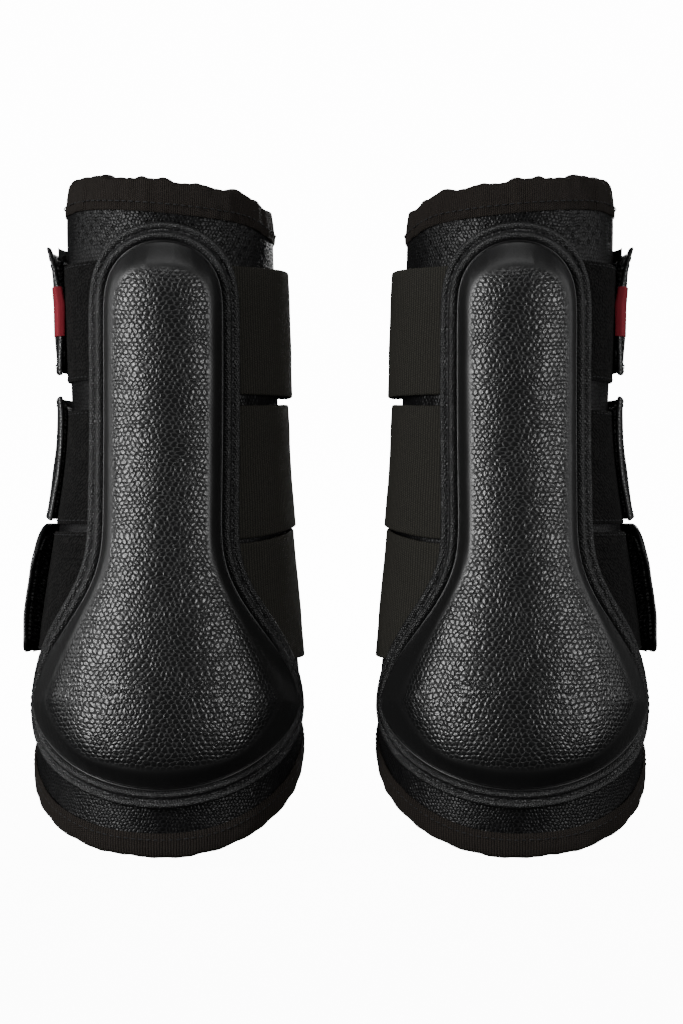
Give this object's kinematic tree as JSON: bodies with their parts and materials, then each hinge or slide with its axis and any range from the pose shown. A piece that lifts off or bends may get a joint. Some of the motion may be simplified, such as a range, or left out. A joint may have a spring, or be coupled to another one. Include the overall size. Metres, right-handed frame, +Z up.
{
  "type": "brushing boots",
  "caption": "Mirrored pair of brushing boots for a horse's lower legs: padded leather shells with moulded strike pads, wrap-round elastic straps and hook-and-loop tabs that open.",
  "frame": {"origin": "middle of the space between the two boots, on the level of the lowest point of their front lobes", "axes": "+Z up the leg, -Y the way the strike pads face, +X from the left boot of the picture to the right one"},
  "size_m": [0.2722, 0.1185, 0.2791],
  "materials": {
    "grained_leather": "pebble-grained black synthetic leather, semi-matt",
    "tab_leather": "fine-grained black synthetic leather, semi-matt",
    "moulded_pad": "moulded pebble-grained black, satin",
    "pad_foam": "closed-cell foam",
    "padded_lining": "soft black padded cloth",
    "ribbed_tape": "ribbed woven brown-black tape",
    "ribbed_elastic": "finely ribbed matt black elastic",
    "hook_tape": "black hook tape",
    "loop_tape": "fuzzy black loop tape",
    "red_label": "plain dark red woven label"
  },
  "bodies": {
    "left_boot": {"left_bottom_binding": "ribbed_tape", "left_loop_patch_1": "loop_tape", "left_loop_patch_2": "loop_tape", "left_loop_patch_3": "loop_tape", "left_outer_shell": "grained_leather", "left_pad_cover": "moulded_pad", "left_pad_cushion": "pad_foam", "left_padded_lining": "padded_lining", "left_seam_binding": "ribbed_tape", "left_strap_root_1": "ribbed_elastic", "left_strap_root_2": "ribbed_elastic", "left_strap_root_3": "ribbed_elastic", "left_strike_pad_base": "moulded_pad", "left_top_binding": "ribbed_tape"},
    "left_flap": {"left_flap_bottom_binding": "ribbed_tape", "left_flap_outer_shell": "grained_leather", "left_flap_padded_lining": "padded_lining", "left_flap_seam_binding": "ribbed_tape", "left_flap_top_binding": "ribbed_tape"},
    "left_strap_1": {"left_elastic_strap_1": "ribbed_elastic", "left_leather_tab_1": "tab_leather", "left_hook_patch_1": "hook_tape", "left_fabric_label": "red_label"},
    "left_strap_2": {"left_elastic_strap_2": "ribbed_elastic", "left_leather_tab_2": "tab_leather", "left_hook_patch_2": "hook_tape"},
    "left_strap_3": {"left_elastic_strap_3": "ribbed_elastic", "left_leather_tab_3": "tab_leather", "left_hook_patch_3": "hook_tape"},
    "right_boot": {"right_bottom_binding": "ribbed_tape", "right_loop_patch_1": "loop_tape", "right_loop_patch_2": "loop_tape", "right_loop_patch_3": "loop_tape", "right_outer_shell": "grained_leather", "right_pad_cover": "moulded_pad", "right_pad_cushion": "pad_foam", "right_padded_lining": "padded_lining", "right_seam_binding": "ribbed_tape", "right_strap_root_1": "ribbed_elastic", "right_strap_root_2": "ribbed_elastic", "right_strap_root_3": "ribbed_elastic", "right_strike_pad_base": "moulded_pad", "right_top_binding": "ribbed_tape"},
    "right_flap": {"right_flap_bottom_binding": "ribbed_tape", "right_flap_outer_shell": "grained_leather", "right_flap_padded_lining": "padded_lining", "right_flap_seam_binding": "ribbed_tape", "right_flap_top_binding": "ribbed_tape"},
    "right_strap_1": {"right_elastic_strap_1": "ribbed_elastic", "right_leather_tab_1": "tab_leather", "right_hook_patch_1": "hook_tape", "right_fabric_label": "red_label"},
    "right_strap_2": {"right_elastic_strap_2": "ribbed_elastic", "right_leather_tab_2": "tab_leather", "right_hook_patch_2": "hook_tape"},
    "right_strap_3": {"right_elastic_strap_3": "ribbed_elastic", "right_leather_tab_3": "tab_leather", "right_hook_patch_3": "hook_tape"}
  },
  "joints": [
    {"name": "right_boot_slide", "type": "slide", "parent": "left_boot", "child": "right_boot", "axis": [1, 0, 0], "range_m": [0, 0.25]},
    {"name": "left_flap_hinge", "type": "hinge", "parent": "left_boot", "child": "left_flap", "pos_m": [-0.01694, 0.00917, 0.15387], "axis": [0.0532, 0.0062, -0.9986], "range_deg": [0, 70]},
    {"name": "left_strap_1_hinge", "type": "hinge", "parent": "left_flap", "child": "left_strap_1", "pos_m": [-0.0217, 0.00847, 0.21563], "axis": [0.0337, 0, -0.9994], "range_deg": [0, 100]},
    {"name": "left_strap_2_hinge", "type": "hinge", "parent": "left_flap", "child": "left_strap_2", "pos_m": [-0.02113, 0.00834, 0.15997], "axis": [0.0755, 0.0108, -0.9971], "range_deg": [0, 100]},
    {"name": "left_strap_3_hinge", "type": "hinge", "parent": "left_flap", "child": "left_strap_3", "pos_m": [-0.01799, 0.00873, 0.10554], "axis": [0.0755, 0.0107, -0.9971], "range_deg": [0, 100]},
    {"name": "right_flap_hinge", "type": "hinge", "parent": "right_boot", "child": "right_flap", "pos_m": [0.01694, 0.00917, 0.15387], "axis": [0.0532, -0.0062, 0.9986], "range_deg": [0, 70]},
    {"name": "right_strap_1_hinge", "type": "hinge", "parent": "right_flap", "child": "right_strap_1", "pos_m": [0.0217, 0.00847, 0.21563], "axis": [0.0337, 0, 0.9994], "range_deg": [0, 100]},
    {"name": "right_strap_2_hinge", "type": "hinge", "parent": "right_flap", "child": "right_strap_2", "pos_m": [0.02113, 0.00834, 0.15997], "axis": [0.0755, -0.0108, 0.9971], "range_deg": [0, 100]},
    {"name": "right_strap_3_hinge", "type": "hinge", "parent": "right_flap", "child": "right_strap_3", "pos_m": [0.01799, 0.00873, 0.10554], "axis": [0.0755, -0.0107, 0.9971], "range_deg": [0, 100]}
  ]
}
